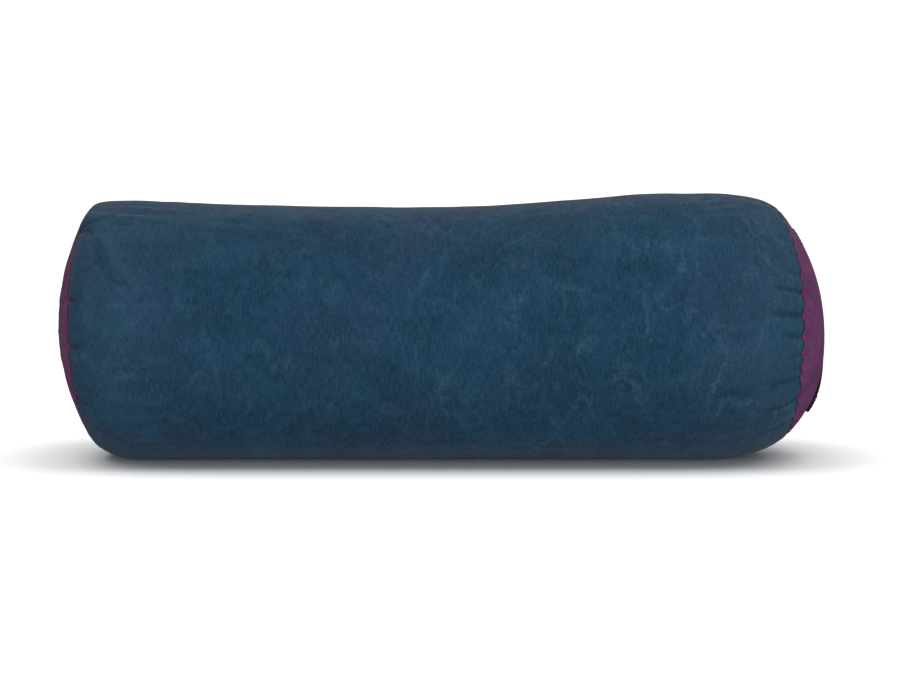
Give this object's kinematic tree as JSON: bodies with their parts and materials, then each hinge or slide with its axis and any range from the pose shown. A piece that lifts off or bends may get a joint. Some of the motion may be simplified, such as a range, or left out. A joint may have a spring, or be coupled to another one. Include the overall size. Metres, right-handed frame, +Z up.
{
  "type": "bolster pillow",
  "caption": "Round cylindrical bolster pillow with a zipped canvas cover, contrasting end panels, a carrying strap on one end and a fibre-filled inner case.",
  "frame": {"origin": "middle of the flattened underside, on the floor", "axes": "+X along the bolster to the end with the carrying strap, +Y to the back, where the zip is, +Z up"},
  "size_m": [0.6521, 0.2293, 0.222],
  "materials": {
    "cover_blue": "washed cotton canvas, matt, mottled",
    "cover_purple": "washed cotton canvas, matt, mottled",
    "strap_webbing": "woven cotton webbing",
    "thread_dark": "twisted polyester thread",
    "zip_tape": "woven zip tape",
    "zip_coil": "nylon coil, satin",
    "zip_metal": "dark nickel, satin",
    "label_satin": "blank white satin",
    "liner_cotton": "unbleached cotton, plain weave",
    "liner_thread": "cotton thread",
    "filling_fibre": "loose fibre mass"
  },
  "bodies": {
    "bolster": {"cover_body_panel": "cover_blue", "cover_end_panel_left": "cover_purple", "cover_end_panel_right": "cover_purple", "end_seam_thread_left": "thread_dark", "end_seam_thread_right": "thread_dark", "handle_strap": "strap_webbing", "handle_stitching_upper": "thread_dark", "handle_stitching_lower": "thread_dark", "zip_tape_upper": "zip_tape", "zip_tape_lower": "zip_tape", "zip_teeth_upper": "zip_coil", "zip_teeth_lower": "zip_coil", "zip_top_stop_upper": "zip_metal", "zip_top_stop_lower": "zip_metal", "zip_bottom_stop": "zip_metal", "zip_topstitching_upper": "thread_dark", "zip_topstitching_lower": "thread_dark", "care_label": "label_satin", "liner_body_panel": "liner_cotton", "liner_end_panel_left": "liner_cotton", "liner_end_panel_right": "liner_cotton", "liner_seam_thread_left": "liner_thread", "liner_seam_thread_right": "liner_thread", "liner_closing_thread": "liner_thread", "filling": "filling_fibre"},
    "slider": {"zip_slider": "zip_metal"},
    "pull": {"zip_pull": "zip_metal"}
  },
  "joints": [
    {"name": "zip_slide", "type": "slide", "parent": "bolster", "child": "slider", "axis": [1, 0, 0], "range_m": [0, 0.49]},
    {"name": "pull_hinge", "type": "hinge", "parent": "slider", "child": "pull", "pos_m": [-0.2452, 0.11444, 0.109], "axis": [0, 0, 1], "range_deg": [0, 180]}
  ]
}
